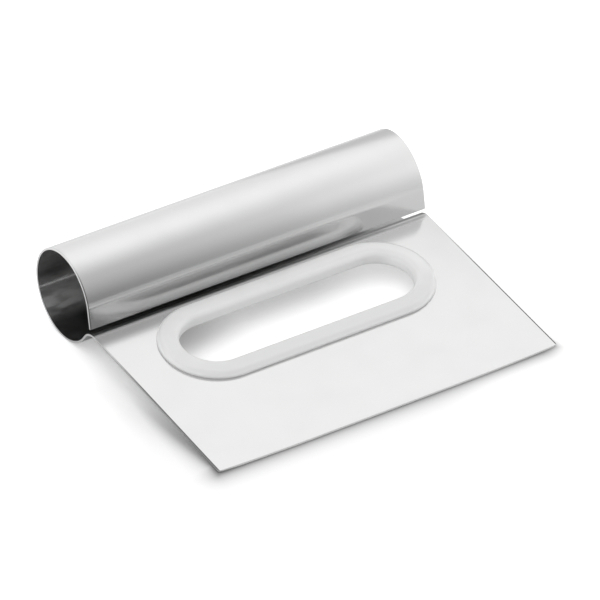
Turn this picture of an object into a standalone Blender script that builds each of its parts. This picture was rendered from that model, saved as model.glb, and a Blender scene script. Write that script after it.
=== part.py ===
"""Dough scraper: one folded steel sheet and a moulded grommet that lines its finger slot.

Metres, +Z up. The origin is on the table under the middle of the scraper. The scraping edge
points along -Y, and the rolled handle lies along X at the +Y side. Both pieces are modelled in
the blade's own axes: X across, -Y towards the scraping edge, Z square to the blade, with the
axis of the rolled handle as origin. An empty then tips them until the scraper rests on the
handle and the scraping edge, as it does on a table.
"""

import math

import bmesh
import bpy

# Blade
SHEET_THICKNESS = 0.0007
BLADE_WIDTH = 0.120
BLADE_LENGTH = 0.0699  # flat part, from the bend under the handle to the middle of the edge
EDGE_STRAIGHT = 0.050  # middle stretch of the scraping edge
EDGE_SWEEP = 0.0008  # how far the edge has swept back at its corners
CORNER_RADIUS = 0.0008

# Rolled handle
HANDLE_DIAMETER = 0.030
HANDLE_RISE = 0.0033  # the roll's axis above the middle of the sheet in the blade
BEND_RADIUS = 0.006  # reverse bend from blade to roll, at the middle of the sheet
LIP_ANGLE = math.radians(14.5)  # where the roll ends and the straight lip starts, above the blade
LIP_GAP = 0.0009  # from the free lip's end down to the level of the blade's upper face

# Finger slot and its grommet
SIDE_MARGIN = 0.013  # bare steel at each end of the grommet
BEND_MARGIN = 0.001  # bare steel between the grommet and the bend
FINGER_WIDTH = 0.0212  # width of the opening that the fingers go through
RIM_WIDTH = 0.007  # from the opening to the grommet's outer edge
WEB_THICKNESS = 0.0024  # plastic between the opening and the cut edge of the steel
FLANGE_HEIGHT = 0.0019  # how far each flange stands above the sheet
FLANGE_EDGE = 0.0004  # upright outer edge of a flange, under its rounding
INNER_ROUNDING = 0.0028  # reach of the rounding from the opening to the flange's crest
OUTER_SQUARENESS = 2.6  # exponent of the outer rounding's superellipse; 2 is a plain ellipse

# Fits and fineness
FIT_GAP = 0.0003  # clearance between the grommet and the steel
TRIM = 0.002  # extra steel on the rolled blank, cut off at the end
ROLL_STEP = math.radians(3)
BEND_STEP = math.radians(7)
GROMMET_END_STEPS = 20
ROUNDING_STEPS = 5
EDGE_STEPS = 6
CORNER_STEPS = 4
CREASE_ANGLE = math.radians(30)  # sharper edges are shaded as creases

# Sizes that follow from the ones above
half_sheet = SHEET_THICKNESS / 2
half_width = BLADE_WIDTH / 2
roll_radius = HANDLE_DIAMETER / 2 - half_sheet  # middle of the sheet
bend_drop = HANDLE_RISE + BEND_RADIUS
bend_reach = math.sqrt((roll_radius + BEND_RADIUS) ** 2 - bend_drop**2)
edge_reach = bend_reach + BLADE_LENGTH
finger_radius = FINGER_WIDTH / 2
rim_radius = finger_radius + RIM_WIDTH
groove_radius = finger_radius + WEB_THICKNESS
slot_half_straight = half_width - SIDE_MARGIN - rim_radius
slot_reach = bend_reach + BEND_MARGIN + rim_radius


def arc(centre, radius, start, end, steps):
    """Points of a circular arc from one angle to another, both ends included."""
    return [
        (
            centre[0] + radius * math.cos(start + (end - start) * i / steps),
            centre[1] + radius * math.sin(start + (end - start) * i / steps),
        )
        for i in range(steps + 1)
    ]


def steps_for(turn, step):
    return max(1, math.ceil(abs(turn) / step))


def sheet_face(outward):
    """One face of the folded sheet, from the free lip to the front, as (reach, height) points.

    outward is the distance from the middle of the sheet, towards the outside of the roll, which
    runs on into the underside of the blade.
    """
    roll = roll_radius + outward
    lip_drop = roll_radius * math.sin(LIP_ANGLE) + HANDLE_RISE - half_sheet - LIP_GAP
    lip_length = lip_drop / math.cos(LIP_ANGLE)
    lip_end = (
        roll * math.cos(LIP_ANGLE) + lip_length * math.sin(LIP_ANGLE),
        roll * math.sin(LIP_ANGLE) - lip_length * math.cos(LIP_ANGLE),
    )
    meet = math.atan2(bend_drop, bend_reach)
    roll_end = 2 * math.pi - meet
    around = arc((0, 0), roll, LIP_ANGLE, roll_end, steps_for(roll_end - LIP_ANGLE, ROLL_STEP))
    bend_start = math.pi - meet
    bend_end = math.pi / 2
    bend = arc(
        (bend_reach, -bend_drop),
        BEND_RADIUS - outward,
        bend_start,
        bend_end,
        steps_for(bend_start - bend_end, BEND_STEP),
    )
    front = (edge_reach + TRIM, -HANDLE_RISE - outward)
    return [lip_end, *around, *bend[1:], front]


def prism(name, outline, axis, low, high):
    """A closed mesh object: an outline of (x, y, z) points at low along axis, extruded to high."""
    mesh = bmesh.new()
    vertices = []
    for point in outline:
        place = list(point)
        place[axis] = low
        vertices.append(mesh.verts.new(place))
    base = mesh.faces.new(vertices)
    grown = bmesh.ops.extrude_face_region(mesh, geom=[base])["geom"]
    shift = [0, 0, 0]
    shift[axis] = high - low
    bmesh.ops.translate(
        mesh, vec=shift, verts=[item for item in grown if isinstance(item, bmesh.types.BMVert)]
    )
    bmesh.ops.recalc_face_normals(mesh, faces=mesh.faces)
    return finish(name, mesh)


def finish(name, mesh):
    data = bpy.data.meshes.new(name)
    mesh.to_mesh(data)
    mesh.free()
    made = bpy.data.objects.new(name, data)
    bpy.context.scene.collection.objects.link(made)
    return made


def smooth(piece):
    piece.data.shade_smooth()
    piece.data.set_sharp_from_angle(angle=CREASE_ANGLE)


def guide(piece):
    piece.hide_render = True
    piece.display_type = "WIRE"
    return piece


def cut(piece, tool, operation):
    boolean = piece.modifiers.new(tool.name, "BOOLEAN")
    boolean.operation = operation
    boolean.object = tool
    boolean.solver = "EXACT"


def material(name, colour, metallic, roughness):
    made = bpy.data.materials.new(name)
    made.use_nodes = True
    shader = made.node_tree.nodes["Principled BSDF"]
    shader.inputs["Base Color"].default_value = (*colour, 1)
    shader.inputs["Metallic"].default_value = metallic
    shader.inputs["Roughness"].default_value = roughness
    return made


def stadium(radius, steps):
    """A slot outline of (x, y) points round a straight spine along X, anticlockwise."""
    right = arc((slot_half_straight, 0), radius, -math.pi / 2, math.pi / 2, steps)
    left = arc((-slot_half_straight, 0), radius, math.pi / 2, math.pi * 3 / 2, steps)
    return right + left


def plan_outline():
    """The finished sheet seen square to the blade: straight sides and a swept-back front edge.

    The sweep is an arc that leaves the straight middle of the edge smoothly, and each corner is
    a small arc between the side and the sweep.
    """
    run = half_width - EDGE_STRAIGHT / 2
    sweep_radius = (run**2 + EDGE_SWEEP**2) / (2 * EDGE_SWEEP)
    sweep_centre = -edge_reach + sweep_radius
    # The corner arc touches the side and, from inside, the sweep arc.
    corner_x = half_width - CORNER_RADIUS
    corner_run = corner_x - EDGE_STRAIGHT / 2
    corner_y = sweep_centre - math.sqrt((sweep_radius - CORNER_RADIUS) ** 2 - corner_run**2)
    sweep_turn = math.asin(corner_run / (sweep_radius - CORNER_RADIUS))
    down = -math.pi / 2
    half = arc((EDGE_STRAIGHT / 2, sweep_centre), sweep_radius, down, down + sweep_turn, EDGE_STEPS)
    half += arc((corner_x, corner_y), CORNER_RADIUS, down + sweep_turn, 0, CORNER_STEPS)[1:]
    half.append((half_width, HANDLE_DIAMETER))
    return half + [(-x, y) for x, y in reversed(half)]


def blade_and_handle():
    """The folded sheet: rolled as one long strip, then trimmed to its plan and slotted."""
    section = sheet_face(half_sheet) + sheet_face(-half_sheet)[::-1]
    outline = [(0, -reach, height) for reach, height in section]
    sheet = prism("blade_and_handle", outline, 0, -half_width - TRIM, half_width + TRIM)
    sheet.data.materials.append(material("polished_steel", (0.61, 0.61, 0.615), 1, 0.16))
    smooth(sheet)
    plan = [(x, y, 0) for x, y in plan_outline()]
    trim = guide(prism("trim_outline", plan, 2, -HANDLE_DIAMETER, HANDLE_DIAMETER))
    cut(sheet, trim, "INTERSECT")
    slot = [(x, y, 0) for x, y in stadium(groove_radius + FIT_GAP, GROMMET_END_STEPS)]
    punch = guide(prism("slot_punch", slot, 2, -FLANGE_HEIGHT, FLANGE_HEIGHT))
    punch.location = (0, -slot_reach, -HANDLE_RISE)
    cut(sheet, punch, "DIFFERENCE")
    return [sheet, trim, punch]


def rounding(centre, across, up, power):
    """A quarter of a superellipse about a centre, from its side to its top."""
    quarter = []
    for i in range(ROUNDING_STEPS + 1):
        turn = math.pi / 2 * i / ROUNDING_STEPS
        x = math.cos(turn) ** (2 / power)
        y = math.sin(turn) ** (2 / power)
        quarter.append((centre[0] + across * x, centre[1] + up * y))
    return quarter


def grommet_section():
    """Half of the channel section, above the sheet's middle, as (radius, height) points.

    It runs from the finger opening over the flange's crest to the groove that holds the sheet.
    """
    groove_top = half_sheet + FIT_GAP
    crest = half_sheet + FLANGE_HEIGHT
    shoulder = groove_top + FLANGE_EDGE
    crest_radius = finger_radius + INNER_ROUNDING
    inner = rounding((crest_radius, shoulder), -INNER_ROUNDING, crest - shoulder, 2)
    to_rim = rim_radius - crest_radius
    outer = rounding((crest_radius, shoulder), to_rim, crest - shoulder, OUTER_SQUARENESS)
    return inner + outer[-2::-1] + [(rim_radius, groove_top), (groove_radius, groove_top)]


def slot_grommet():
    """The channel section carried round the slot, joined to itself as one closed ring."""
    half = grommet_section()
    section = half + [(radius, -height) for radius, height in reversed(half)]
    mesh = bmesh.new()
    rings = []
    for radius, height in section:
        path = stadium(radius, GROMMET_END_STEPS)
        rings.append([mesh.verts.new((x, y, height)) for x, y in path])
    for ring, following in zip(rings, rings[1:] + rings[:1]):
        for i in range(len(ring)):
            j = (i + 1) % len(ring)
            mesh.faces.new((ring[i], ring[j], following[j], following[i]))
    bmesh.ops.recalc_face_normals(mesh, faces=mesh.faces)
    grommet = finish("slot_grommet", mesh)
    grommet.data.materials.append(material("milky_plastic", (0.72, 0.72, 0.71), 0, 0.38))
    smooth(grommet)
    grommet.location = (0, -slot_reach, -HANDLE_RISE)
    return [grommet]


def resting_frame():
    """An empty on the handle's axis, tipped so that the roll and the scraping edge touch Z = 0."""
    handle_radius = HANDLE_DIAMETER / 2
    edge_drop = HANDLE_RISE + half_sheet
    to_edge = math.hypot(edge_reach, edge_drop)
    tip = math.asin(handle_radius / to_edge) - math.atan2(edge_drop, edge_reach)
    edge_top = HANDLE_RISE - half_sheet
    front = edge_reach * math.cos(tip) - edge_top * math.sin(tip)
    frame = bpy.data.objects.new("resting_frame", None)
    bpy.context.scene.collection.objects.link(frame)
    frame.location = (0, (front - handle_radius) / 2, handle_radius)
    frame.rotation_euler = (tip, 0, 0)
    return frame


def main():
    for old in list(bpy.data.objects):
        bpy.data.objects.remove(old, do_unlink=True)
    frame = resting_frame()
    for piece in blade_and_handle() + slot_grommet():
        piece.parent = frame


main()
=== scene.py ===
import math

import bmesh
import bpy
from mathutils import Euler, Matrix, Vector


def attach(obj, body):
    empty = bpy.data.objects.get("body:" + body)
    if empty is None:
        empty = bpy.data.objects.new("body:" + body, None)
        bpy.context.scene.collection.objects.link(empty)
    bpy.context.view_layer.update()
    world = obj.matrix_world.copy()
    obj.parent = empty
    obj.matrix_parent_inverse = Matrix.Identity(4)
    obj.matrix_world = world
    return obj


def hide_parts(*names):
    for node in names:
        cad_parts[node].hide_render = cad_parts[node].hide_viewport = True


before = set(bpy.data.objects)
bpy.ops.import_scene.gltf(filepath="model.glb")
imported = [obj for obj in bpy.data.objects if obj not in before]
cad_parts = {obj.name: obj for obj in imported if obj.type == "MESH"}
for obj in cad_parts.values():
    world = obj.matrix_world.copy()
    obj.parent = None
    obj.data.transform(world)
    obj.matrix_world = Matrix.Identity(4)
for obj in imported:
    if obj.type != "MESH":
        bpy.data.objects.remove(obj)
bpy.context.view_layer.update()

nodesInRow = 24  # how the nodes are laid out in the editor
nodeSpace = (190, -260)
weldDistance = 1e-6


class Wire:
    # one output of a node; sums with other wires and with numbers become Math nodes
    def __init__(self, graph, socket):
        self.graph = graph
        self.socket = socket

    def out(self, name):
        return Wire(self.graph, self.socket.node.outputs[name])

    def __add__(self, other):
        return self.graph.sum("ADD", self, other)

    def __radd__(self, other):
        return self.graph.sum("ADD", other, self)

    def __sub__(self, other):
        return self.graph.sum("SUBTRACT", self, other)

    def __rsub__(self, other):
        return self.graph.sum("SUBTRACT", other, self)

    def __mul__(self, other):
        return self.graph.sum("MULTIPLY", self, other)

    def __rmul__(self, other):
        return self.graph.sum("MULTIPLY", other, self)

    def __truediv__(self, other):
        return self.graph.sum("DIVIDE", self, other)

    def __rtruediv__(self, other):
        return self.graph.sum("DIVIDE", other, self)

    def __pow__(self, other):
        return self.graph.sum("POWER", self, other)

    def __rpow__(self, other):
        return self.graph.sum("POWER", other, self)

    def __neg__(self):
        return self.graph.sum("MULTIPLY", self, -1)

    def __gt__(self, other):
        return self.graph.sum("GREATER_THAN", self, other)

    def __lt__(self, other):
        return self.graph.sum("LESS_THAN", self, other)


class Graph:
    # adds nodes to one tree, for geometry and for materials alike
    def __init__(self, tree):
        self.tree = tree
        self.tree.nodes.clear()

    def add(self, kind, settings=None, sockets=None):
        node = self.tree.nodes.new(kind)
        row, column = divmod(len(self.tree.nodes), nodesInRow)
        node.location = (nodeSpace[0] * column, nodeSpace[1] * row)
        for name, value in (settings or {}).items():
            setattr(node, name, value)
        for name, value in (sockets or {}).items():
            self.feed(self.find(node, name), value)
        return Wire(self, node.outputs[0]) if len(node.outputs) else node

    def find(self, node, name):
        if isinstance(name, int):
            return node.inputs[name]
        return next(socket for socket in node.inputs if socket.enabled and socket.name == name)

    def feed(self, socket, value):
        if isinstance(value, list):  # several wires into one socket, for Join Geometry
            for wire in reversed(value):
                self.tree.links.new(wire.socket, socket)
        elif isinstance(value, Wire):
            self.tree.links.new(value.socket, socket)
        else:
            socket.default_value = value

    def sum(self, operation, *values):
        return self.add("ShaderNodeMath", {"operation": operation}, dict(enumerate(values)))

    def sine(self, angle):
        return self.sum("SINE", angle)

    def cosine(self, angle):
        return self.sum("COSINE", angle)

    def root(self, value):
        return self.sum("SQRT", value)

    def size(self, value):
        return self.sum("ABSOLUTE", value)

    def whole(self, value):
        return self.sum("FLOOR", value)

    def most(self, first, second):
        return self.sum("MAXIMUM", first, second)

    def between(self, value, low, high):
        return self.sum("MINIMUM", self.most(value, low), high)

    def choose(self, test, no, yes):
        sockets = {"Factor": test, "A": no, "B": yes}
        return self.add("ShaderNodeMix", {"data_type": "FLOAT"}, sockets)

    def ease(self, value, start, end, low=0, high=1):
        sockets = {"Value": value, "From Min": start, "From Max": end, "To Min": low, "To Max": high}
        return self.add("ShaderNodeMapRange", {"interpolation_type": "SMOOTHSTEP"}, sockets)

    def point(self, x, y, z=0):
        return self.add("ShaderNodeCombineXYZ", {}, {"X": x, "Y": y, "Z": z})

    def split(self, vector):
        return self.add("ShaderNodeSeparateXYZ", {}, {"Vector": vector})


def shapeTree(name, inputs):
    # a Geometry Nodes tree with one named input for each size, and the wires of those inputs
    tree = bpy.data.node_groups.new(name, "GeometryNodeTree")
    graph = Graph(tree)
    tree.interface.new_socket(name="Shape", in_out="OUTPUT", socket_type="NodeSocketGeometry")
    kinds = {int: "NodeSocketInt", float: "NodeSocketFloat", bpy.types.Material: "NodeSocketMaterial"}
    for label, value in inputs.items():
        tree.interface.new_socket(name=label, in_out="INPUT", socket_type=kinds[type(value)])
    source = graph.add("NodeGroupInput")
    return graph, {label: source.out(label) for label in inputs}


def endTree(graph, shape, material):
    shape = graph.add("GeometryNodeSetShadeSmooth", {}, {"Geometry": shape, "Shade Smooth": True})
    shape = graph.add("GeometryNodeRealizeInstances", {}, {"Geometry": shape})
    shape = graph.add("GeometryNodeSetMaterial", {}, {"Geometry": shape, "Material": material})
    graph.add("NodeGroupOutput", {}, {"Shape": shape})


def keepMap(graph, shape, name, u, v):
    # stores two numbers at each face corner, as a UV map
    settings = {"data_type": "FLOAT2", "domain": "CORNER"}
    sockets = {"Geometry": shape, "Name": name, "Value": graph.point(u, v)}
    return graph.add("GeometryNodeStoreNamedAttribute", settings, sockets)


def place(graph, shape, position):
    return graph.add("GeometryNodeSetPosition", {}, {"Geometry": shape, "Position": position})


def weld(graph, shape):
    return graph.add("GeometryNodeMergeByDistance", {}, {"Geometry": shape, "Distance": weldDistance})


def closedLine(graph, line):
    line = graph.add("GeometryNodeMeshToCurve", {}, {"Mesh": line})
    return graph.add("GeometryNodeSetSplineCyclic", {}, {"Geometry": line, "Cyclic": True})


def gridPlace(graph, columns, rows):
    # a grid of points, and each point's column and row counted from 0
    sockets = {"Size X": columns - 1, "Size Y": rows - 1, "Vertices X": columns, "Vertices Y": rows}
    grid = graph.add("GeometryNodeMeshGrid", {}, sockets)
    here = graph.split(graph.add("GeometryNodeInputPosition"))
    column = graph.whole(here.out("X") + columns / 2)
    row = graph.whole(here.out("Y") + rows / 2)
    return grid, column, row


def grow(name, graph, inputs):
    # an object whose mesh comes from the tree
    piece = bpy.data.objects.new(name, bpy.data.meshes.new(name))
    bpy.context.scene.collection.objects.link(piece)
    modifier = piece.modifiers.new("shape", "NODES")
    modifier.node_group = graph.tree
    for socket in graph.tree.interface.items_tree:
        if socket.in_out == "INPUT":
            modifier[socket.identifier] = inputs[socket.name]
    return piece


def settle(piece):
    # the evaluated result as a plain mesh, with no modifier left
    depsgraph = bpy.context.evaluated_depsgraph_get()
    made = bpy.data.meshes.new_from_object(
        piece.evaluated_get(depsgraph), preserve_all_data_layers=True, depsgraph=depsgraph
    )
    piece.modifiers.clear()
    piece.data = made
    made.name = piece.name
    print(piece.name, "settled with", len(made.polygons), "faces")
    return piece


def stadium(graph, index, endPoints, straight):
    # for a point on a slot's outline, anticlockwise: its direction from the middle of its round end
    half = graph.whole((index + 0.5) / (endPoints + 1))
    step = index - half * (endPoints + 1)
    angle = math.pi * (step / endPoints + half - 0.5)
    side = 1 - 2 * (half - 2 * graph.whole(half / 2 + 0.25))
    return graph.cosine(angle), graph.sine(angle), straight * side / 2


rest = {  # how the scraper lies on a table, on its handle and its scraping edge
    "tip": math.radians(7.40194),
    "axis": (0, 0.0361105, 0.015),  # the middle of the rolled handle
}

sheet = {  # the steel, in metres, with the blade's length taken from the end of the bend
    "Width": 0.120,
    "Blade Length": 0.0699,
    "Thickness": 0.00069,
    "Edge Straight": 0.050,
    "Edge Sweep": 0.0008,
    "Corner Radius": 0.0008,
    "Handle Diameter": 0.02999,
    "Handle Rise": 0.0033,
    "Bend Radius": 0.006,
    "Lip Angle": math.radians(15.6),
    "Lip Gap": 0.0011,
    "Slot Straight": 0.0588,
    "Slot Radius": 0.0133,
    "Slot From Bend": 0.0186,
    "Roll Steps": 300,
    "Bend Steps": 60,
    "Edge Points": 160,
    "Slot End Points": 48,
}
blankSize = 0.2  # metres of flat blank to a whole UV map
cutRounding = 0.00007
cutAngle = math.radians(60)  # edges sharper than this get that rounding


def blankLengths():
    # how much flat steel each part takes, and how far in front of the handle's axis the blade starts
    roll = (sheet["Handle Diameter"] - sheet["Thickness"]) / 2
    bend = sheet["Bend Radius"]
    lipAngle = sheet["Lip Angle"]
    drop = sheet["Handle Rise"] + bend
    reach = math.sqrt((roll + bend) ** 2 - drop**2)
    meet = math.atan2(drop, reach)
    bladeTop = sheet["Handle Rise"] - sheet["Thickness"] / 2
    lipDrop = roll * math.sin(lipAngle) + bladeTop - sheet["Lip Gap"]
    lengths = {"reach": reach, "rollStart": lipDrop / math.cos(lipAngle)}
    lengths["bendStart"] = lengths["rollStart"] + roll * (2 * math.pi - meet - lipAngle)
    lengths["bladeStart"] = lengths["bendStart"] + bend * (math.pi / 2 - meet)
    lengths["edge"] = lengths["bladeStart"] + sheet["Blade Length"]
    return lengths


def foldedSheetTree(steel):
    inputs = {**sheet, "Steel": steel}
    graph, size = shapeTree("folded sheet", inputs)
    halfWidth = size["Width"] / 2
    halfSheet = size["Thickness"] / 2
    roll = size["Handle Diameter"] / 2 - halfSheet
    bend = size["Bend Radius"]
    lipAngle = size["Lip Angle"]
    drop = size["Handle Rise"] + bend
    reach = graph.root((roll + bend) * (roll + bend) - drop * drop)
    meet = graph.sum("ARCTAN2", drop, reach)
    lipDrop = roll * graph.sine(lipAngle) + size["Handle Rise"] - halfSheet - size["Lip Gap"]
    lipLength = lipDrop / graph.cosine(lipAngle)
    rollLength = roll * (2 * math.pi - meet - lipAngle)
    bendLength = bend * (math.pi / 2 - meet)
    bladeStart = lipLength + rollLength + bendLength

    # strips for the lip, the roll and the bend, laid flat one after the other
    rollSteps = size["Roll Steps"]
    bendSteps = size["Bend Steps"]
    strips, column, row = gridPlace(graph, 2, rollSteps + bendSteps + 2)
    along = (
        lipLength * graph.between(row, 0, 1)
        + rollLength * graph.between(row - 1, 0, rollSteps) / rollSteps
        + bendLength * graph.between(row - 1 - rollSteps, 0, bendSteps) / bendSteps
    )
    strips = place(graph, strips, graph.point((column - 0.5) * size["Width"], along))

    # the blade's outline: the front edge, point by point, between the two ends of the bend
    last = size["Edge Points"] + 1
    outline = graph.add("GeometryNodeMeshLine", {}, {"Count": last + 1})
    index = graph.add("GeometryNodeInputIndex")
    across = graph.between((index - 1) / (last - 2) * 2 - 1, -1, 1)
    x = halfWidth * graph.sine(across * (math.pi / 2))
    outward = graph.most(graph.size(x) - size["Edge Straight"] / 2, 0)
    run = halfWidth - size["Edge Straight"] / 2
    sweep = size["Edge Sweep"]
    sweepRadius = (run * run + sweep * sweep) / (2 * sweep)
    swept = sweepRadius - graph.root(sweepRadius * sweepRadius - outward * outward)
    corner = size["Corner Radius"]
    past = graph.between(graph.size(x) - halfWidth + corner, 0, corner)
    cornered = corner - graph.root(graph.most(corner * corner - past * past, 0))
    front = bladeStart + size["Blade Length"] - swept - cornered
    atBend = (index < 0.5) + (index > last - 0.5)
    outline = place(graph, outline, graph.point(x, graph.choose(atBend, front, bladeStart)))

    # the finger slot, and the blade as the face between the two lines
    ends = size["Slot End Points"]
    slot = graph.add("GeometryNodeMeshLine", {}, {"Count": 2 * ends + 2})
    toX, toY, centre = stadium(graph, index, ends, size["Slot Straight"])
    slotX = centre + size["Slot Radius"] * toX
    slotY = bladeStart + size["Slot From Bend"] + size["Slot Radius"] * toY
    slot = place(graph, slot, graph.point(slotX, slotY))
    lines = [closedLine(graph, outline), closedLine(graph, slot)]
    lines = graph.add("GeometryNodeJoinGeometry", {}, {0: lines})
    blade = graph.add("GeometryNodeFillCurve", {"mode": "NGONS"}, {"Curve": lines})

    # one blank with thickness; the wall map says how deep a point lies and where the steel is cut
    blank = weld(graph, graph.add("GeometryNodeJoinGeometry", {}, {0: [strips, blade]}))
    lift = {"Geometry": blank, "Offset": graph.point(0, 0, -halfSheet)}
    blank = graph.add("GeometryNodeSetPosition", {}, lift)
    thicken = {"Mesh": blank, "Offset": (0, 0, 1), "Offset Scale": size["Thickness"], "Individual": False}
    upper = graph.add("GeometryNodeExtrudeMesh", {}, thicken)
    here = graph.split(graph.add("GeometryNodeInputPosition"))
    x, s, above = here.out("X"), here.out("Y"), here.out("Z")
    upper = keepMap(graph, upper, "wall", above / size["Thickness"] + 0.5, upper.out("Side"))
    lower = graph.add("GeometryNodeFlipFaces", {}, {"Mesh": blank})
    lower = keepMap(graph, lower, "wall", 0, 0)
    blank = weld(graph, graph.add("GeometryNodeJoinGeometry", {}, {0: [upper, lower]}))
    blank = keepMap(graph, blank, "blank", (x + halfWidth) / blankSize, s / blankSize)

    # the blank is folded by arc length: lip, roll, bend and blade
    turn = lipAngle + graph.between(s - lipLength, 0, rollLength) / roll
    free = graph.most(lipLength - s, 0)
    rollReach = (roll + above) * graph.cosine(turn) + free * graph.sine(lipAngle)
    rollHeight = (roll + above) * graph.sine(turn) - free * graph.cosine(lipAngle)
    back = math.pi - meet - graph.between(s - lipLength - rollLength, 0, bendLength) / bend
    bladeReach = reach + (bend - above) * graph.cosine(back) + graph.most(s - bladeStart, 0)
    bladeHeight = (bend - above) * graph.sine(back) - drop
    onBlade = s > lipLength + rollLength
    y = -graph.choose(onBlade, rollReach, bladeReach)
    z = graph.choose(onBlade, rollHeight, bladeHeight)
    shape = place(graph, blank, graph.point(x, y, z))
    lay = {"Geometry": shape, "Translation": rest["axis"], "Rotation": Euler((rest["tip"], 0, 0))}
    endTree(graph, graph.add("GeometryNodeTransform", {}, lay), size["Steel"])
    return grow("blade_and_handle_sheet", graph, inputs)


def foldSheet(steel):
    piece = foldedSheetTree(steel)
    rounding = piece.modifiers.new("cut edges", "BEVEL")
    rounding.width = cutRounding
    rounding.segments = 2
    rounding.limit_method = "ANGLE"
    rounding.angle_limit = cutAngle
    rounding.use_clamp_overlap = False
    normals = piece.modifiers.new("normals", "WEIGHTED_NORMAL")
    normals.weight = 50
    settle(piece)
    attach(piece, "root")
    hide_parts("blade_and_handle")
    return piece


ring = {  # the plastic liner of the finger slot, in metres
    "Straight": 0.0588,
    "Finger Width": 0.0212,
    "Rim Width": 0.0067,
    "Web": 0.0024,
    "Sheet": 0.0007,
    "Flange Height": 0.0021,
    "Crown": 0.0001,  # rise of the flange's face between its roundings
    "Seat Gap": 0.00002,
    "Inner Rounding": 0.0015,
    "Outer Rounding": 0.0019,
    "Outer Drop": 0.0017,
    "End Points": 56,
    "Rounding Points": 12,
    "Face Points": 8,
}
ringAngle = math.radians(35)  # edges sharper than this aren't smoothed


def ringTree(plastic):
    inputs = {**ring, "Plastic": plastic}
    graph, size = shapeTree("slot ring", inputs)
    finger = size["Finger Width"] / 2
    rim = finger + size["Rim Width"]
    groove = finger + size["Web"]
    grooveTop = size["Sheet"] / 2 + size["Seat Gap"]
    face = size["Sheet"] / 2 + size["Flange Height"] - size["Crown"]
    inner = size["Inner Rounding"]
    outer = size["Outer Rounding"]
    faceWidth = size["Rim Width"] - outer - inner
    around = 2 * size["End Points"] + 2
    turns = size["Rounding Points"]
    flats = size["Face Points"]
    last = 2 * turns + flats
    upper, lap, row = gridPlace(graph, around + 1, last + 5)
    toX, toY, centre = stadium(graph, lap, size["End Points"], size["Straight"])

    # the section: wall of the opening, inner rounding, face, outer rounding, foot, groove
    rising = graph.between(row - 1, 0, turns) / turns * (math.pi / 2)
    across = graph.between(row - 1 - turns, 0, flats) / flats
    falling = graph.between(row - 1 - turns - flats, 0, turns) / turns * (math.pi / 2)
    radius = finger + inner * (1 - graph.cosine(rising)) + faceWidth * across + outer * graph.sine(falling)
    height = face - inner * (1 - graph.sine(rising)) - size["Outer Drop"] * (1 - graph.cosine(falling))
    height = height + 4 * size["Crown"] * across * (1 - across)
    foot = row > last + 1.5
    middle = (row < 0.5) + (row > last + 3.5)
    radius = graph.choose(foot, radius, rim)
    radius = graph.choose(row > last + 2.5, radius, groove)
    height = graph.choose(foot, height, grooveTop) * (1 - middle)
    upper = keepMap(graph, upper, "section", lap / around, row / (last + 4))
    upper = place(graph, upper, graph.point(centre + radius * toX, radius * toY, height))
    upper = graph.add("GeometryNodeFlipFaces", {}, {"Mesh": upper})
    lower = graph.add("GeometryNodeTransform", {}, {"Geometry": upper, "Scale": (1, 1, -1)})
    lower = graph.add("GeometryNodeFlipFaces", {}, {"Mesh": lower})
    shape = weld(graph, graph.add("GeometryNodeJoinGeometry", {}, {0: [upper, lower]}))
    endTree(graph, shape, size["Plastic"])
    return grow("slot_grommet_ring", graph, inputs)


def mouldRing(plastic):
    piece = settle(ringTree(plastic))
    reach = blankLengths()["reach"] + sheet["Slot From Bend"]
    toTable = Matrix.Translation(rest["axis"]) @ Matrix.Rotation(rest["tip"], 4, "X")
    piece.data.transform(toTable @ Matrix.Translation((0, -reach, -sheet["Handle Rise"])))
    piece.data.set_sharp_from_angle(angle=ringAngle)
    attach(piece, "root")
    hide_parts("slot_grommet")
    return piece


def noise(graph, x, y, z=0, detail=2.0):
    # a pattern between 0 and 1 whose patches are as wide as the number each coordinate is divided by
    sockets = {"Vector": graph.point(x, y, z), "Scale": 1.0, "Detail": detail}
    return graph.add("ShaderNodeTexNoise", {}, sockets)


def region(graph, places, spans):
    # a mask that is 1 where every span is full; a span names its coordinate, where it begins and
    # where it is full, and may end with two values that stand in for 0 and 1
    mask = 1
    for name, *ends in spans:
        mask = mask * graph.ease(places[name], *ends)
    return mask


def tint(graph, factor, first, second):
    # first and second are greys or wires of a colour
    pair = [value if isinstance(value, Wire) else (value, value, value, 1) for value in (first, second)]
    sockets = {"Factor": factor, "A": pair[0], "B": pair[1]}
    return graph.add("ShaderNodeMix", {"data_type": "RGBA"}, sockets).out("Result")


def newMaterial(name):
    material = bpy.data.materials.new(name)
    material.use_nodes = True
    return material, Graph(material.node_tree)


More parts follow.
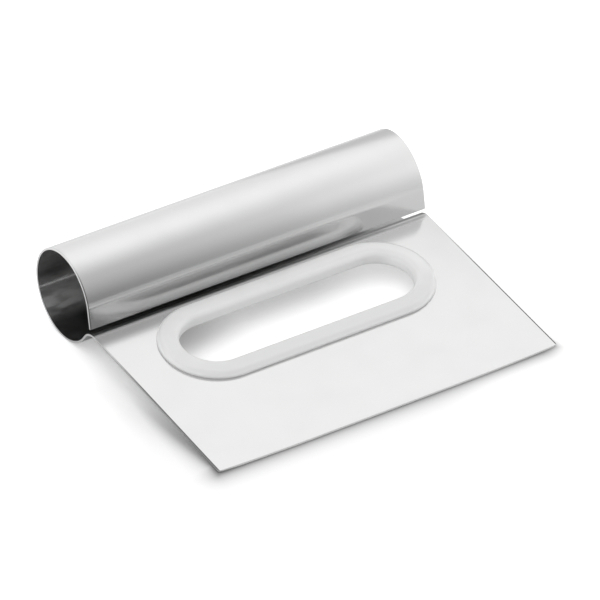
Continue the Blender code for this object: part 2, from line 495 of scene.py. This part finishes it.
steelFinish = {  # lengths in metres, along the flat blank from the lip to the scraping edge
    "grey": 0.615,
    "dullGrey": 0.60,
    "roughness": 0.14,
    "grainLength": 0.016,  # rolling grain, in streaks along the handle
    "grainWidth": 0.00016,
    "grainDepth": 0.0000003,
    "grainRoughness": 0.03,
    "smudgeSize": 0.014,
    "smudgeDetail": 4.0,
    "smudgeRange": (0.35, 0.8),  # of the pattern, from clean to dull
    "smudgeRoughness": 0.03,
    "waveSize": 0.022,  # the sheet isn't quite flat
    "waveDepth": 0.00001,
    "layers": {"grain": 7, "smudge": 5, "wave": 3.0, "haze": 9.0},  # these keep the patterns apart
    "cutRoughness": 0.30,
    "cutGrey": 0.56,
    "sideCutGrey": (0.50, 0.40),  # the cut along the blade's sides, from the bend forwards, darkening forwards with painted shade
    "sideCutLength": 0.04,
    "sideCutFade": 0.002,
    "sideCutDepth": 0.001,
    "paintedEdgeLineWidth": (0.00035, 0.0005),  # painted shade: a dark line along both sides, standing in for the dark that their rounded edges mirror
    "paintedEdgeLineGrey": 0.12,
    "paintedEdgeLineOnRoll": (0.8, 0.1),  # weaker on the roll: near its lip and over its top, on the left
    "paintedEdgeLineOnRollEnds": (0.012, 0.022),
    "paintedEdgeLineOnBlade": 0.03,  # and back at full strength this far along the blade
    "paintedEdgeLineRoughness": 0.30,
    "paintedRollShadeGrey": 0.56,  # painted shade on the left of the roll's front, which darkens what it mirrors
    "paintedRollShadeEnds": (0.013, 0.018),
    "paintedRollShadeRight": (0.066, 0.088),
    "insideGrey": 0.64,  # mill finish inside the roll
    "insideRoughness": 0.29,
    "hazeGrey": 0.82,
    "hazeRoughness": 0.50,  # in streaks
    "hazeLength": 0.008,
    "hazeWidth": 0.0018,
    "hazeDetail": 6.0,
    "hazeRange": (0.37, 0.63),
    "hazeElsewhere": 0.35,  # how much of it there is outside the rubbed strip
    "paintedLitStripStart": (0.0550, 0.0600),  # a strip of painted light inside the roll, also rougher
    "paintedLitStripEnd": (0.0608, 0.0648),
    "paintedLitStripHaze": 0.45,
    # painted highlight: the line of light that the slit throws on the inside of the roll
    "paintedLightLine": 0.0544,
    "paintedLightLineWidth": 0.0009,
    "paintedLightLineRoughness": 0.15,
    "paintedInsideShadeGrey": 0.18,  # painted shade inside the roll, towards the seam
    "paintedInsideShadeStart": (0.0638, 0.0675),
    "paintedInsideShadeRight": (0.102, 0.112),  # less of it past here, next to the open right end
    "paintedInsideShadeAtRight": 0.45,
    "bendRoughness": 0.29,  # the press leaves the bend satin; its crest is darkened with painted shade
    "bendFade": 0.002,
    "bladeFade": 0.0015,
    "paintedCrestShadeGrey": 0.11,
    "paintedCrestShadeStart": (0, 0.001),  # from the start of the bend
    "paintedCrestShadeEnd": (0.0039, 0.0053),
    "wornWidth": 0.0016,  # along the scraping edge
    "wornRoughness": 0.10,
}


def polishedSteel():
    material, graph = newMaterial("polished steel")
    finish = steelFinish
    layers = finish["layers"]
    blank = graph.split(graph.add("ShaderNodeUVMap", {"uv_map": "blank"}))
    wall = graph.split(graph.add("ShaderNodeUVMap", {"uv_map": "wall"}))
    x = blank.out("X") * blankSize
    s = blank.out("Y") * blankSize
    cut = graph.between(wall.out("Y"), 0, 1)
    topFace = wall.out("X") < 0.5

    # where on the blank a point lies
    lengths = blankLengths()
    pastBend = s - lengths["bendStart"]
    pastBlade = s - lengths["bladeStart"]
    middle = sheet["Width"] / 2
    fromSide = middle - graph.size(x - middle)
    inside = topFace * graph.ease(pastBend, finish["bendFade"], 0) * (1 - cut)
    bent = graph.ease(pastBend, 0, finish["bendFade"]) * graph.ease(pastBlade, finish["bladeFade"], 0)
    worn = graph.ease(s, lengths["edge"] - finish["wornWidth"], lengths["edge"])
    # a dark line of painted shade along both sides, weaker on part of the roll
    paintedEdgeLine = graph.ease(fromSide, *finish["paintedEdgeLineWidth"], 1, 0) * (1 - cut)
    onRoll = graph.ease(s, *finish["paintedEdgeLineOnRollEnds"], *finish["paintedEdgeLineOnRoll"]) * (x < middle)
    paintedEdgeLine = paintedEdgeLine * graph.choose(graph.ease(pastBlade, 0, finish["paintedEdgeLineOnBlade"]), onRoll, 1)

    # roughness of the polished side, and of the mill finish inside the roll
    grainX, grainS = x / finish["grainLength"], s / finish["grainWidth"]
    grain = noise(graph, grainX, grainS, wall.out("X") * layers["grain"])
    smudgeX, smudgeS = x / finish["smudgeSize"], s / finish["smudgeSize"]
    smudge = noise(graph, smudgeX, smudgeS, topFace * layers["smudge"], finish["smudgeDetail"])
    wave = noise(graph, x / finish["waveSize"], s / finish["waveSize"], layers["wave"])
    hazeX, hazeS = x / finish["hazeLength"], s / finish["hazeWidth"]
    haze = noise(graph, hazeX, hazeS, layers["haze"], finish["hazeDetail"])
    dull = graph.ease(smudge, *finish["smudgeRange"])
    polished = (
        finish["roughness"]
        + (grain - 0.5) * finish["grainRoughness"]
        + dull * finish["smudgeRoughness"]
        + worn * finish["wornRoughness"]
    )
    polished = graph.choose(bent, polished, finish["bendRoughness"])
    # painted light inside the roll: a lighter, rougher strip
    paintedLitStrip = graph.ease(s, *finish["paintedLitStripStart"]) * graph.ease(s, *finish["paintedLitStripEnd"], 1, 0)
    # painted highlight: a light line inside the roll, smoother too
    paintedLightLine = graph.ease(graph.size(s - finish["paintedLightLine"]), finish["paintedLightLineWidth"], 0)
    hazy = finish["hazeElsewhere"] + paintedLitStrip * (1 - finish["hazeElsewhere"])
    hazy = graph.ease(haze, *finish["hazeRange"]) * hazy + paintedLitStrip * finish["paintedLitStripHaze"]
    hazy = graph.between(hazy, 0, 1)
    mill = finish["insideRoughness"] + (finish["hazeRoughness"] - finish["insideRoughness"]) * hazy
    mill = graph.choose(paintedLightLine, mill, finish["paintedLightLineRoughness"])
    rough = graph.choose(inside, polished, mill)
    rough = graph.choose(paintedEdgeLine, rough, finish["paintedEdgeLineRoughness"])
    rough = graph.choose(cut, rough, finish["cutRoughness"])

    # colour, with painted shade and light on the roll's front, the bend's crest, the roll's inside and the
    # edges
    # painted shade inside the roll, less next to its open right end
    paintedInsideShade = graph.ease(s, *finish["paintedInsideShadeStart"])
    paintedInsideShade = paintedInsideShade * graph.ease(x, *finish["paintedInsideShadeRight"], 1, finish["paintedInsideShadeAtRight"])
    insideColour = tint(graph, graph.most(hazy, paintedLightLine), finish["insideGrey"], finish["hazeGrey"])
    insideColour = tint(graph, paintedInsideShade, insideColour, finish["paintedInsideShadeGrey"])
    # painted shade on the left of the roll's front
    paintedRollShade = graph.ease(s, *finish["paintedRollShadeEnds"], 1, 0) * graph.ease(x, *finish["paintedRollShadeRight"], 1, 0)
    # painted shade on the bend's crest
    paintedCrestShade = graph.ease(pastBend, *finish["paintedCrestShadeStart"]) * graph.ease(pastBend, *finish["paintedCrestShadeEnd"], 1, 0)
    # the side cuts darken towards the scraping edge: painted shade
    onSide = graph.ease(pastBlade, 0, finish["sideCutFade"]) * (fromSide < finish["sideCutDepth"])
    sideGrey = graph.ease(pastBlade, 0, finish["sideCutLength"], *finish["sideCutGrey"])
    cutColour = tint(graph, onSide, finish["cutGrey"], graph.point(sideGrey, sideGrey, sideGrey))
    colour = tint(graph, dull, finish["grey"], finish["dullGrey"])
    colour = tint(graph, paintedRollShade, colour, finish["paintedRollShadeGrey"])
    colour = tint(graph, inside, colour, insideColour)
    colour = tint(graph, paintedCrestShade * topFace, colour, finish["paintedCrestShadeGrey"])
    colour = tint(graph, paintedEdgeLine, colour, finish["paintedEdgeLineGrey"])
    colour = tint(graph, cut, colour, cutColour)

    height = grain * finish["grainDepth"] + wave * finish["waveDepth"]
    bump = graph.add("ShaderNodeBump", {}, {"Strength": 1.0, "Distance": 1.0, "Height": height})
    sockets = {"Base Color": colour, "Metallic": 1.0, "Roughness": rough, "Normal": bump}
    shader = graph.add("ShaderNodeBsdfPrincipled", {}, sockets)
    graph.add("ShaderNodeOutputMaterial", {}, {"Surface": shader})
    return material


plasticFinish = {  # lengths in metres
    "grey": 0.71,
    "cloudGrey": 0.685,
    "cloudSize": 0.007,
    "cloudDetail": 4.0,
    "cloudRange": (0.35, 0.7),  # of the pattern, from clear to cloudy
    "cloudRoughness": 0.10,
    "roughness": 0.40,
    "grainSize": 0.00045,
    "grainDepth": 0.000004,
    "milkiness": 0.5,  # share of the light that spreads inside the plastic, and how far
    "spread": 0.002,
    # greys of painted light and shade laid over each other; "across" runs over the section, from 0 in the
    # opening to 1 at the groove
    "paintedTints": [
        (0.675, [("y", -0.006, -0.013)]),  # the near side's face, in painted shade
        (0.755, [("x", 0, 0.034), ("y", -0.008, 0), ("across", 0.36, 0.46)]),  # outer half, far right, in painted light
        (0.73, [("across", 0.38, 0.12)]),  # next to the opening, where more light goes through
        (0.85, [("y", -0.006, -0.013), ("across", 0.2, 0.06)]),  # the opening's near wall, in painted light
        (0.85, [("x", 0.0345, 0.0395), ("across", 0.2, 0.06)]),  # its wall in the right end, in painted light
        (0.88, [("across", 0.70, 0.90)]),  # round the outside, where the steel throws light into it
        (0.97, [("across", 0.70, 0.90), ("y", 0, 0.008)]),  # the outer wall under the lip, in painted light for the lip to mirror
        (0.58, [("x", 0.030, 0.036), ("y", -0.008, 0), ("across", 0.60, 0.68)]),  # a fine line of painted shade there
    ],
}


def milkyPlastic():
    material, graph = newMaterial("milky plastic")
    finish = plasticFinish
    here = graph.split(graph.add("ShaderNodeTexCoord").out("Object"))
    section = graph.split(graph.add("ShaderNodeUVMap", {"uv_map": "section"}))
    x, y, z = here.out("X"), here.out("Y"), here.out("Z")
    places = {"x": x, "y": y, "across": section.out("Y")}
    cloudSize, grainSize = finish["cloudSize"], finish["grainSize"]
    cloud = noise(graph, x / cloudSize, y / cloudSize, z / cloudSize, finish["cloudDetail"])
    grain = noise(graph, x / grainSize, y / grainSize, z / grainSize)
    colour = tint(graph, graph.ease(cloud, *finish["cloudRange"]), finish["grey"], finish["cloudGrey"])
    # painted light and shade, grey over grey
    for grey, spans in finish["paintedTints"]:
        colour = tint(graph, region(graph, places, spans), colour, grey)
    rough = finish["roughness"] + (cloud - 0.5) * finish["cloudRoughness"]
    sockets = {"Strength": 1.0, "Distance": 1.0, "Height": grain * finish["grainDepth"]}
    bump = graph.add("ShaderNodeBump", {}, sockets)
    sockets = {"Base Color": colour, "Roughness": rough, "Normal": bump}
    sockets["Subsurface Weight"] = finish["milkiness"]
    sockets["Subsurface Radius"] = (1, 1, 1)
    sockets["Subsurface Scale"] = finish["spread"]
    shader = graph.add("ShaderNodeBsdfPrincipled", {}, sockets)
    graph.add("ShaderNodeOutputMaterial", {}, {"Surface": shader})
    return material


def stageMesh(name, build):
    mesh = bmesh.new()
    build(mesh)
    data = bpy.data.meshes.new(name)
    mesh.to_mesh(data)
    mesh.free()
    made = bpy.data.objects.new(name, data)
    bpy.context.scene.collection.objects.link(made)
    return made


floorPaper = {  # lengths in metres; a span runs from where it begins to where it is full
    "radius": 0.36,
    "segments": 96,
    "white": 0.90,
    "grey": 0.52,  # in front, what the steel mirrors; white again to the right
    "greyStart": (-0.055, -0.11),
    "greyEnd": (0, 0.14),
    "contact": 0.019,  # how far from the scraper it darkens the paper
    "contactSamples": 12,
    "contactLeft": (-0.005, -0.04, 1.8, 0.75),  # how strongly beside its left edge, from back to front
    "contactElsewhere": 0.35,
    "contactMirrored": (0, -0.04, 0.5, 3.4),  # beside the left edge, as the steel mirrors it
    "besideLeft": [("x", -0.052, -0.068), ("y", 0.01, -0.05)],
    "edge": (0.0605, -0.0509),  # the scraping edge on the paper: half its width, and its place in y
    # soft shadows for the camera: how dark, how fast they fade with the distance from the edge, where
    "shadows": [
        {  # in front of the scraping edge
            "dark": 0.68,
            "fade": 0.0036,
            "where": [("y", -0.0409, -0.0509), ("x", 0.067, 0.054)],
        },
        {  # beside its left corner
            "dark": 0.34,
            "fade": 0.0045,
            "where": [("y", 0.005, -0.03), ("x", -0.057, -0.0605), ("y", -0.06, -0.052)],
        },
        {  # in the slot's far left
            "dark": 0.38,
            "where": [("x", -0.008, -0.032), ("x", -0.055, -0.05), ("y", 0, 0.015), ("y", 0.035, 0.025)],
        },
        {  # wide and faint beside the left side
            "dark": 0.14,
            "where": [
                ("x", -0.084, -0.067),
                ("x", -0.0605, -0.066, 0.3, 1),
                ("x", -0.058, -0.05801),
                ("y", 0.022, 0.004),
                ("y", -0.05, -0.01, 0.45, 1),
                ("y", -0.062, -0.05),
            ],
        },
    ],
    "lift": 0.11,  # how much lighter the paper shows to the camera
    "moreLift": [
        ("y", -0.05, 0.03, 0, 0.32),  # behind
        ("away", 0.09, 0.15, 0, 0.30),
        ("x", 0.012, 0.042, 0, 0.16),
    ],
    # how much lighter the steel mirrors it: behind on the left, in the slot, at the scraping edge
    "mirroredLift": [
        (0.5, [("x", -0.075, -0.09), ("y", 0.02, 0.035)]),
        (0.05, [("x", -0.045, -0.03), ("x", 0.045, 0.03), ("y", -0.02, -0.01), ("y", 0.03, 0.02)]),
        (0.17, [("y", -0.062, -0.053), ("y", -0.045, -0.05), ("x", -0.068, -0.052)]),
    ],
}


def whiteFloor():
    circle = {"cap_ends": True, "radius": floorPaper["radius"], "segments": floorPaper["segments"]}
    floor = stageMesh("floor", lambda mesh: bmesh.ops.create_circle(mesh, **circle))
    material, graph = newMaterial("white floor")
    here = graph.split(graph.add("ShaderNodeTexCoord").out("Object"))
    x, y = here.out("X"), here.out("Y")
    places = {"x": x, "y": y, "away": graph.root(x * x + y * y)}
    path = graph.add("ShaderNodeLightPath")
    seen = path.out("Is Camera Ray")
    glossy = path.out("Is Glossy Ray")
    grey = graph.ease(x, *floorPaper["greyEnd"], floorPaper["grey"], floorPaper["white"])
    grey = graph.choose(graph.ease(y, *floorPaper["greyStart"]), floorPaper["white"], grey)
    shade = graph.choose(seen, grey, floorPaper["white"])

    # the scraper darkens the paper near it
    settings = {"samples": floorPaper["contactSamples"]}
    near = graph.add("ShaderNodeAmbientOcclusion", settings, {"Distance": floorPaper["contact"]})
    besideLeft = region(graph, places, floorPaper["besideLeft"])
    left = graph.ease(y, *floorPaper["contactLeft"])
    direct = graph.choose(besideLeft, floorPaper["contactElsewhere"], left)
    mirrored = graph.ease(y, *floorPaper["contactMirrored"]) * besideLeft * glossy
    shade = shade * near.out("AO") ** graph.choose(seen, mirrored, direct)

    # soft shadows, by the distance from the scraping edge and by place
    edgeX, edgeY = floorPaper["edge"]
    past = graph.most(graph.size(x) - edgeX, 0)
    before = graph.most(edgeY - y, 0)
    gap = graph.root(past * past + before * before)
    unlit = 0
    for shadow in floorPaper["shadows"]:
        dark = region(graph, places, shadow["where"]) * shadow["dark"]
        if "fade" in shadow:
            dark = dark * math.e ** (gap / -shadow["fade"])
        unlit = graph.most(unlit, dark)
    unlit = unlit * seen
    shade = shade * (1 - unlit)

    # and a little light of its own, which keeps the rest white
    lift = floorPaper["lift"]
    for name, *span in floorPaper["moreLift"]:
        lift = lift + graph.ease(places[name], *span)
    mirroredLift = 0
    for strength, spans in floorPaper["mirroredLift"]:
        mirroredLift = mirroredLift + region(graph, places, spans) * strength
    lift = seen * lift * (1 - unlit) + glossy * mirroredLift
    matte = graph.add("ShaderNodeBsdfDiffuse", {}, {"Color": graph.point(shade, shade, shade)})
    glow = graph.add("ShaderNodeEmission", {}, {"Color": (1, 1, 1, 1), "Strength": lift})
    both = graph.add("ShaderNodeAddShader", {}, {0: matte, 1: glow})
    graph.add("ShaderNodeOutputMaterial", {}, {"Surface": both})
    floor.data.materials.append(material)
    return floor


tentCloth = {  # a span's last two numbers are strengths, or parts of one
    "radius": 0.36,
    "subdivisions": 5,
    "behind": (9, 64, 1.14, 1.40),  # by degrees over the scraper, from the horizon behind it
    "toFront": (66, 121),
    "front": 0.75,
    "frontRight": (0.24, 1.22, 0, 1.98),  # by the distance to the right, as a part of the radius
    "frontLow": (121, 182, 0, 0.43),
    "frontLimits": (0.25, 1.4),
    "panel": 0.35,  # a dimmer cloth behind on the right
    "panelSlant": 0.0031,
    "panelEdge": (0.378, 0.436),
    "panelTop": (55, 48),
    "left": (-0.15, 0.2, 0.85, 1),
    "farRight": (0.68, 0.85, 0, 0.6),
    "level": 1.1,  # what dull surfaces are lit by, in place of most of that pattern
    "leftward": 0.2,
    "levelShare": 0.75,
}


def lightTent():
    # a tent of white cloth round the scraper: bright behind and to the right, dimmer in front
    ball = {"subdivisions": tentCloth["subdivisions"], "radius": tentCloth["radius"]}
    tent = stageMesh("light_tent", lambda mesh: bmesh.ops.create_icosphere(mesh, **ball))
    tent.visible_camera = False
    tent.visible_shadow = False
    for face in tent.data.polygons:
        face.use_smooth = True
    material, graph = newMaterial("tent light")
    here = graph.split(graph.add("ShaderNodeTexCoord").out("Object"))
    right = here.out("X") / tentCloth["radius"]
    over = graph.sum("ARCTAN2", here.out("Z"), here.out("Y")) * (180 / math.pi)
    back = graph.ease(over, *tentCloth["behind"])
    front = tentCloth["front"] + graph.ease(right, *tentCloth["frontRight"])
    front = graph.between(front - graph.ease(over, *tentCloth["frontLow"]), *tentCloth["frontLimits"])
    light = back + (front - back) * graph.ease(over, *tentCloth["toFront"])
    panel = graph.ease(right - tentCloth["panelSlant"] * over, *tentCloth["panelEdge"])
    panel = panel * graph.ease(over, *tentCloth["panelTop"])
    light = light - tentCloth["panel"] * panel
    light = light * graph.ease(right, *tentCloth["left"])
    light = light + graph.ease(right, *tentCloth["farRight"])
    level = tentCloth["level"] - tentCloth["leftward"] * right
    even = light + (level - light) * tentCloth["levelShare"]
    light = graph.choose(graph.add("ShaderNodeLightPath").out("Is Glossy Ray"), even, light)
    glow = graph.add("ShaderNodeEmission", {}, {"Color": (1, 1, 1, 1), "Strength": light})
    graph.add("ShaderNodeOutputMaterial", {}, {"Surface": glow})
    tent.data.materials.append(material)
    return tent


def whiteWorld():
    world = bpy.data.worlds.new("studio")
    bpy.context.scene.world = world
    world.use_nodes = True
    graph = Graph(world.node_tree)
    seen = graph.add("ShaderNodeLightPath").out("Is Camera Ray")
    plain = graph.add("ShaderNodeBackground", {}, {"Color": (1, 1, 1, 1), "Strength": seen})
    graph.add("ShaderNodeOutputWorld", {}, {"Surface": plain})


shot = {
    "azimuth": math.radians(-32.686),
    "elevation": math.radians(33.389),
    "roll": math.radians(-0.658),
    "distance": 2.388377,
    "focal": 7962.866,  # in pixels of a 600-pixel image
    "aim": Vector((0, 0.0061165, 0.010)),
    "aimPixel": (285.632, 293.753),
    "imageSide": 600,
    "sensorWidth": 36,
}


def takeShot():
    azimuth = shot["azimuth"]
    elevation = shot["elevation"]
    sideways = math.sin(azimuth) * math.cos(elevation)
    backwards = -math.cos(azimuth) * math.cos(elevation)
    toCamera = Vector((sideways, backwards, math.sin(elevation)))
    level = Vector((math.cos(azimuth), math.sin(azimuth), 0))
    upright = toCamera.cross(level)
    cosine = math.cos(shot["roll"])
    sine = math.sin(shot["roll"])
    right = cosine * level + sine * upright
    up = -sine * level + cosine * upright
    # the aim point shows at its pixel, so the camera stands a little to its side
    perPixel = shot["distance"] / shot["focal"]
    aside = (shot["aimPixel"][0] - shot["imageSide"] / 2) * perPixel
    above = (shot["imageSide"] / 2 - shot["aimPixel"][1]) * perPixel
    here = shot["aim"] + toCamera * shot["distance"] - right * aside - up * above
    lens = bpy.data.cameras.new("camera")
    lens.sensor_width = shot["sensorWidth"]
    lens.lens = shot["focal"] * shot["sensorWidth"] / shot["imageSide"]
    holder = bpy.data.objects.new("camera", lens)
    turned = Matrix((right, up, toCamera)).transposed().to_4x4()
    holder.matrix_world = Matrix.Translation(here) @ turned
    bpy.context.scene.collection.objects.link(holder)
    bpy.context.scene.camera = holder


foldSheet(polishedSteel())
mouldRing(milkyPlastic())
print("pieces made")
whiteFloor()
lightTent()
whiteWorld()
takeShot()
bpy.context.scene.view_settings.view_transform = "Standard"
print("studio set")
